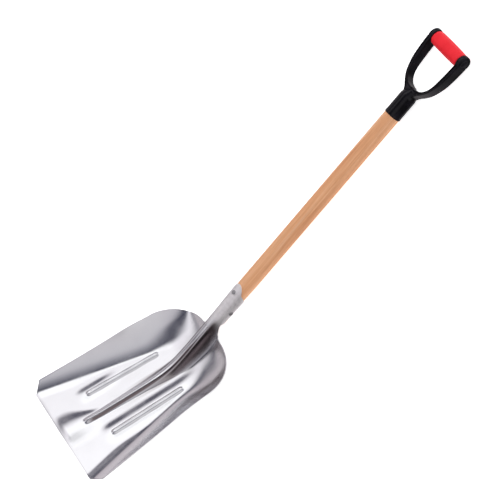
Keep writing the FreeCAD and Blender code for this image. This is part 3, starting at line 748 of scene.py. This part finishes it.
def makeBlade(material):
    columns = bladeColumns()
    corner, straight, shoulder, socket = blade["rows"]
    deep = blade["cornerDepth"]
    length = blade["shoulderStart"] - deep
    rows = [("blade", deep * i / corner) for i in range(corner)]
    rows += [("blade", deep + length * i / straight) for i in range(straight)]
    rows += [("shoulder", i / shoulder) for i in range(shoulder)]
    rows += [("socket", i / socket) for i in range(socket + 1)]
    bm = bmesh.new()
    bmesh.ops.create_grid(bm, x_segments=len(columns) - 1, y_segments=len(rows) - 1, size=1)
    for vertex in bm.verts:
        i = round((vertex.co.x + 1) / 2 * (len(columns) - 1))
        j = round((vertex.co.y + 1) / 2 * (len(rows) - 1))
        vertex.co = bladePoint(columns[i], rows[j])
    mesh = toMesh(bm, "scoop_sheet", toFrame)
    piece = finishPiece("scoop_sheet", mesh, material, ["scoop_blade"], "shovel", 180)
    wall = piece.modifiers.new("wall", "SOLIDIFY")
    wall.thickness = blade["thickness"] * mm
    wall.offset = 1
    wall.use_even_offset = False
    edge = piece.modifiers.new("edge", "BEVEL")
    edge.width = blade["edgeRound"] * mm
    edge.segments = blade["edgeSteps"]
    edge.limit_method = "ANGLE"
    edge.angle_limit = math.radians(blade["edgeAngle"])
    print("blade:", len(mesh.polygons), "faces")


def makeShaft(material):
    tip = shaft["tipRadius"]
    radius = shaft["radius"]
    tenon = shaft["tenonRadius"]
    mouth = shaft["mouth"]
    edge = shaft["mouthEdge"]
    chamfer = shaft["chamfer"]
    profile = [
        (0, 0), (0, tip - chamfer), (chamfer, tip + shaft["tipSwell"]),
        (shaft["taper"] * 0.5, (tip + radius) / 2), (shaft["taper"], radius),
        (mouth * 0.5, radius), (mouth - edge, radius), (mouth, radius - edge), (mouth, tenon),
        (shaft["length"] - chamfer, tenon), (shaft["length"], tenon - chamfer), (shaft["length"], 0),
    ]
    mesh = toMesh(spun(profile, "Y", shaft["around"]), "turned_shaft", alongShaft(0))
    finishPiece("turned_shaft", mesh, material, ["wooden_shaft"], "shovel")
    print("shaft: turned")


rivets = {
    "shank": 2.5,
    "head": 4.75,
    "dome": 1.9,
    "steps": 8,
    "around": 32,
    "places": (("upper", 74.0, 0.0), ("lower", 34.0, 90.0)),       # along the shaft, and turned round it
}


def makeRivets(material):
    for label, place, turn in rivets["places"]:
        seat = boreRadius(place + rivets["head"]) + blade["thickness"]
        dome = []
        for i in range(rivets["steps"] + 1):
            angle = math.pi / 2 * i / rivets["steps"]
            dome.append((seat + rivets["dome"] * math.cos(angle), rivets["head"] * math.sin(angle)))
        profile = [(-along, radius) for along, radius in dome] + [(-seat, rivets["shank"])]
        profile += [(seat, rivets["shank"])] + dome[::-1]
        turned = spun(profile, "Z", rivets["around"])
        mesh = toMesh(turned, label + "_rivet", alongShaft(place, turn))
        finishPiece(label + "_rivet", mesh, material, [label + "_socket_rivet"], "shovel")
    print("rivets: two")


sleeve = {
    "half": 41.3,
    "radius": 16.0,
    "crown": 0.9,              # how much thinner it is at the ends
    "crownSteps": 24,
    "rim": 2.6,
    "rimSteps": 8,
    "bore": 4.06,
    "around": 96,
}


def makeSleeve(material):
    half = sleeve["half"]
    rim = sleeve["rim"]
    endRadius = sleeve["radius"] - sleeve["crown"]
    outside = []
    for i in range(1, sleeve["crownSteps"]):
        along = blend(-half + rim, half - rim, i / sleeve["crownSteps"])
        outside.append((along, sleeve["radius"] - sleeve["crown"] * (along / (half - rim)) ** 2))
    profile = [(-half, sleeve["bore"])]
    profile += arcPoints((-half + rim, endRadius - rim), rim, 180, 90, sleeve["rimSteps"])
    profile += outside
    profile += arcPoints((half - rim, endRadius - rim), rim, 90, 0, sleeve["rimSteps"])
    profile += [(half, sleeve["bore"]), (-half, sleeve["bore"])]
    turned = spun(profile, "X", sleeve["around"])
    mesh = toMesh(turned, "turning_sleeve", alongShaft(layout["crossbarPlace"]))
    finishPiece("turning_sleeve", mesh, material, ["grip_sleeve"], "sleeve")
    print("sleeve: turned")


plug = {
    "inside": 50.1,            # from the middle of the crossbar
    "outside": 53.1,
    "radius": 7.0,
    "edge": 0.2,
    "domeEdge": 0.3,
    "dome": 0.6,
    "steps": 8,
    "around": 48,
}


def makePlugs(material):
    radius = plug["radius"]
    for side, label in ((1, "right"), (-1, "left")):
        profile = [(plug["inside"], 0), (plug["inside"], radius), (plug["outside"] - plug["edge"], radius)]
        for i in range(plug["steps"] + 1):
            angle = math.pi / 2 * i / plug["steps"]
            bulge = plug["outside"] + plug["dome"] * math.sin(angle)
            profile.append((bulge, (radius - plug["domeEdge"]) * math.cos(angle)))
        turned = spun([(side * along, out) for along, out in profile], "X", plug["around"])
        mesh = toMesh(turned, label + "_plug", alongShaft(layout["crossbarPlace"]))
        finishPiece(label + "_plug", mesh, material, [label + "_rod_plug"], "shovel")
    print("plugs: two")


yoke = {
    # socket
    "radius": 18.0,
    "collar": 18.5,
    "collarLength": 4.0,
    "collarRound": 0.6,
    "bore": 15.3,
    "seat": 43.0,
    "dome": ((48, 0), (52, 1), (56, 3.5), (61, 7), (66, 11)),      # (along, how much thinner)
    "domeEnd": 70,
    # round ends that carry the crossbar
    "rise": 171.0,
    "bossRadius": 15.7,
    "bossInside": 41.9,
    "bossOutside": 53.1,
    "bossEdge": 0.8,
    "bossRound": 3.6,
    "bossSteps": 6,
    "rodBore": 4.1,
    "plugBore": 7.1,
    "plugFloor": 50.1,
    # arms
    "depth": (11.2, 14.0),     # half the front to back size, at the fork and at the boss
    "channel": 3.6,            # depth of the channels in front and back
    "flange": ((0, 1.6), (0.5, 0.4), (1.15, 0), (2.3, 0.5)),       # (in from the side, below the top)
    "channelEdge": ((2.8, 0.8), (3.4, 0)),     # (in from the side, above the channel's bottom)
    "armRows": 70,
    # inner and outer edge of the right arm, from the fork up to the boss
    "arm": (
        ((2, 69), (12.5, 52)), ((12, 70.6), (18.5, 61)), ((21.3, 74), (26.5, 69)),
        ((29.5, 82), (35.5, 80)), ((35, 92), (41.5, 92)), ((38.3, 105), (46.3, 106)),
        ((40, 119), (49.5, 122)), ((41.8, 138), (51.5, 140)), ((43.5, 163), (53, 163)),
    ),
    "voxel": 0.8,              # grain of the joined moulding
    "smoothings": 5,
}


def through(points, share):
    # a smooth curve through the points, 0 to 1
    count = len(points) - 1
    index = min(int(share * count), count - 1)
    local = share * count - index
    held = [Vector(points[min(max(index + k, 0), count)]) for k in (-1, 0, 1, 2)]
    before, start, end, after = held
    bend = (before * -1 + start * 3 - end * 3 + after) * local ** 3
    turn = (before * 2 - start * 5 + end * 4 - after) * local ** 2
    return (start * 2 + (end - before) * local + turn + bend) * 0.5


def armSection(half, depth):
    # one quarter of the section: (across, front to back), from the outer side to the channel's middle
    bottom = depth - yoke["channel"]
    section = [(half, 0), (half, depth * 0.5)]
    section += [(half - inwards, depth - down) for inwards, down in yoke["flange"]]
    section += [(half - inwards, bottom + up) for inwards, up in yoke["channelEdge"]]
    return section + [(0, bottom)]


def makeArm(side):
    quarter = len(armSection(1, 1)) - 1
    around = 4 * quarter
    insides, outsides = zip(*yoke["arm"])
    bm = bmesh.new()
    bmesh.ops.create_grid(bm, x_segments=around, y_segments=yoke["armRows"], size=1)
    for vertex in bm.verts:
        i = round((vertex.co.x + 1) / 2 * around) % around
        share = (vertex.co.y + 1) / 2
        inner = through(insides, share)
        outer = through(outsides, share)
        half = (outer - inner).length / 2
        section = armSection(half, blend(*yoke["depth"], share))
        part, step = divmod(i, quarter)
        across, front = section[step] if part % 2 == 0 else section[quarter - step]
        if part in (1, 2):
            across = -across
        if part in (2, 3):
            front = -front
        middle = (inner + outer) / 2
        place = middle + (outer - inner).normalized() * across
        vertex.co = (side * place.x, place.y, front)
    bmesh.ops.remove_doubles(bm, verts=bm.verts[:], dist=0.01)
    ends = [edge for edge in bm.edges if edge.is_boundary]
    bmesh.ops.holes_fill(bm, edges=ends, sides=0)
    bmesh.ops.recalc_face_normals(bm, faces=bm.faces[:])
    return bm


def ferruleProfile():
    radius = yoke["radius"]
    collar = yoke["collar"]
    length = yoke["collarLength"]
    edge = yoke["collarRound"]
    profile = [(0, yoke["bore"]), (0, collar - edge), (edge, collar)]
    profile += [(length - edge, collar), (length, radius)]
    profile += [(along, radius - thinner) for along, thinner in yoke["dome"]]
    profile += [(yoke["domeEnd"], 0), (yoke["seat"], 0), (yoke["seat"], yoke["bore"]), (0, yoke["bore"])]
    return profile


def bossProfile(side):
    outer = yoke["bossRadius"]
    inside = yoke["bossInside"]
    end = yoke["bossOutside"]
    corner = yoke["bossRound"]
    edge = yoke["bossEdge"]
    points = [(inside, yoke["rodBore"]), (inside, outer - edge), (inside + edge, outer)]
    points += arcPoints((end - corner, outer - corner), corner, 90, 0, yoke["bossSteps"])
    points += [(end, yoke["plugBore"]), (yoke["plugFloor"], yoke["plugBore"])]
    points += [(yoke["plugFloor"], yoke["rodBore"]), (inside, yoke["rodBore"])]
    return [(side * along, radius) for along, radius in points]


def makeYoke(material):
    whole = bmesh.new()
    shapes = [spun(ferruleProfile(), "Y")]
    for side in (1, -1):
        boss = spun(bossProfile(side), "X")
        boss.transform(Matrix.Translation((0, yoke["rise"], 0)))
        shapes += [boss, makeArm(side)]
    for shape in shapes:
        loose = bpy.data.meshes.new("loose")
        shape.to_mesh(loose)
        shape.free()
        whole.from_mesh(loose)
        bpy.data.meshes.remove(loose)
    mesh = bpy.data.meshes.new("rough_yoke")
    whole.to_mesh(mesh)
    whole.free()
    rough = bpy.data.objects.new("rough_yoke", mesh)
    bpy.context.scene.collection.objects.link(rough)
    joined = rough.modifiers.new("joined", "REMESH")     # one moulding out of the overlapping shapes
    joined.mode = "VOXEL"
    joined.voxel_size = yoke["voxel"]
    joined.use_smooth_shade = True
    graph = bpy.context.evaluated_depsgraph_get()
    bm = bmesh.new()
    bm.from_mesh(rough.evaluated_get(graph).to_mesh())
    bpy.data.objects.remove(rough)
    for i in range(yoke["smoothings"]):
        bmesh.ops.smooth_vert(bm, verts=bm.verts[:], factor=0.5,
                              use_axis_x=True, use_axis_y=True, use_axis_z=True)
    mesh = toMesh(bm, "moulded_yoke", alongShaft(layout["ferruleMouth"]))
    finishPiece("moulded_yoke", mesh, material, ["grip_yoke"], "shovel", 180)
    print("yoke:", len(mesh.polygons), "faces")


studio = {
    # in metres, the turn in degrees
    "place": (2.19229, 0.99756, 2.97924),
    "turn": (16.4364, 36.8647, 50.9597),
    "lens": 136.4,
    "sensor": 36,
    "seenTo": 50,
    "lampPlace": (-0.6, 0.3, 2.6),
    "lampSize": (1.6, 2.4),
    "lampPower": 36,
    "floor": (0.92, 0.92, 0.92),
    "floorSize": 60,
    "floorGlow": 0.80,         # light that the floor gives off, as a lit white table does
    "room": 1.0,
    "frontOfRoom": (-0.34, -0.08),     # how far forward roomFront gives way to roomAlong
}

# The room's brightness round the blade's long axis: degrees from straight above the blade's floor
# (plus is towards +X), then red, green and blue. Panels and dark gaps run along the shovel.
roomAlong = [
    (-180, (0.55, 0.52, 0.54)), (-142, (0.34, 0.32, 0.34)), (-124, (0.60, 0.57, 0.58)),
    (-110, (0.70, 0.66, 0.67)), (-105, (0.20, 0.20, 0.23)), (-97, (0.22, 0.22, 0.25)),
    (-93, (1.10, 1.06, 1.04)), (-88, (0.76, 0.70, 0.73)), (-66, (0.66, 0.60, 0.63)),
    (-60, (0.07, 0.07, 0.10)), (-48, (0.06, 0.06, 0.09)), (-43, (0.90, 0.87, 0.91)),
    (-37, (1.18, 1.15, 1.18)), (-31, (1.50, 1.50, 1.50)), (-20, (1.45, 1.45, 1.45)),
    (-14, (0.10, 0.10, 0.13)), (-4, (0.10, 0.10, 0.13)), (9, (0.34, 0.34, 0.38)),
    (22, (0.68, 0.67, 0.70)), (52, (0.74, 0.72, 0.74)), (66, (1.05, 1.05, 1.05)),
    (78, (0.90, 0.88, 0.90)), (90, (0.09, 0.08, 0.085)), (140, (0.09, 0.08, 0.085)),
    (158, (0.60, 0.57, 0.58)), (180, (0.72, 0.68, 0.70)),
]
# the same for the part of the room that lies beyond the leading edge
roomFront = [
    (-180, (0.75, 0.72, 0.73)), (-124, (0.60, 0.57, 0.58)), (-116, (0.09, 0.09, 0.11)),
    (-90, (0.09, 0.09, 0.11)), (-79, (0.66, 0.61, 0.63)), (-64, (0.64, 0.59, 0.61)),
    (-56, (0.13, 0.13, 0.16)), (-48, (0.12, 0.12, 0.15)), (-42, (0.90, 0.87, 0.90)),
    (-33, (1.30, 1.26, 1.30)), (-27, (1.20, 1.18, 1.22)), (-18, (0.08, 0.08, 0.11)),
    (4, (0.06, 0.06, 0.09)), (22, (0.66, 0.64, 0.68)), (50, (0.70, 0.67, 0.69)),
    (62, (0.12, 0.11, 0.115)), (84, (0.03, 0.025, 0.028)), (138, (0.03, 0.025, 0.028)),
    (162, (0.50, 0.48, 0.49)), (180, (0.75, 0.72, 0.73)),
]


def makeWorld():
    world = bpy.data.worlds.new("studio")
    bpy.context.scene.world = world
    world.use_nodes = True
    nodes = world.node_tree.nodes
    links = world.node_tree.links
    direction = nodes.new("ShaderNodeTexCoord").outputs["Generated"]
    turn = toFrame.to_3x3()
    above = (turn @ Vector((0, 0, 1))).normalized()
    ahead = (turn @ Vector((0, 1, 0))).normalized()
    right = splitAxis(nodes, links, direction, "X")
    angle = combine(nodes, links, right, dotWith(nodes, links, direction, above), "ARCTAN2")
    place = combine(nodes, links, combine(nodes, links, angle, 1 / (2 * math.pi), "MULTIPLY"), 0.5)
    strips = []
    for stops in (roomAlong, roomFront):
        strips.append(ramp(nodes, links, place, [(degrees / 360 + 0.5, tint) for degrees, tint in stops]))
    front = spread(nodes, links, dotWith(nodes, links, direction, ahead), 1, 0, *studio["frontOfRoom"])
    links.new(mixColours(nodes, links, front, *strips), nodes["Background"].inputs["Color"])
    nodes["Background"].inputs["Strength"].default_value = studio["room"]


def makeFloor():
    bm = bmesh.new()
    bmesh.ops.create_grid(bm, x_segments=2, y_segments=2, size=studio["floorSize"])
    mesh = toMesh(bm, "floor", Matrix.Identity(4))
    material, nodes, links, shader = startMaterial("pale_floor", Roughness=0.9)
    shader.inputs["Base Color"].default_value = (*studio["floor"], 1)
    shader.inputs["Emission Color"].default_value = (1, 1, 1, 1)
    shader.inputs["Emission Strength"].default_value = studio["floorGlow"]
    mesh.materials.append(material)
    floor = bpy.data.objects.new("floor", mesh)
    floor.visible_glossy = False       # the metal mirrors the room, not the table under it
    bpy.context.scene.collection.objects.link(floor)


def makeLamp():
    lamp = bpy.data.lights.new("overhead", "AREA")
    lamp.shape = "RECTANGLE"
    lamp.size, lamp.size_y = studio["lampSize"]
    lamp.energy = studio["lampPower"]
    holder = bpy.data.objects.new("overhead", lamp)
    holder.location = studio["lampPlace"]
    holder.visible_glossy = False      # nor the lamp
    holder.rotation_euler = (-Vector(studio["lampPlace"])).to_track_quat("-Z", "Y").to_euler()
    bpy.context.scene.collection.objects.link(holder)


def makeCamera():
    data = bpy.data.cameras.new("camera")
    data.lens = studio["lens"]
    data.sensor_width = studio["sensor"]
    data.clip_end = studio["seenTo"]
    camera = bpy.data.objects.new("camera", data)
    camera.location = studio["place"]
    camera.rotation_euler = [math.radians(angle) for angle in studio["turn"]]
    bpy.context.scene.collection.objects.link(camera)
    bpy.context.scene.camera = camera


def main():
    black = makePlastic(blackPlastic)
    bright = makeMetal(steel)
    makeBlade(makeAluminium())
    makeShaft(makeWood())
    makeRivets(makeMetal(rivetMetal))
    makeYoke(black)
    makePlugs(black)
    makeSleeve(makePlastic(redPlastic))
    for node in ("crossbar_rod", "ferrule_screw"):
        carried = frame["nodes"][node]
        carried.data.materials.clear()
        carried.data.materials.append(bright)
    makeWorld()
    makeFloor()
    makeLamp()
    makeCamera()
    bpy.context.scene.view_settings.view_transform = "Standard"
    print("studio: ready")


main()
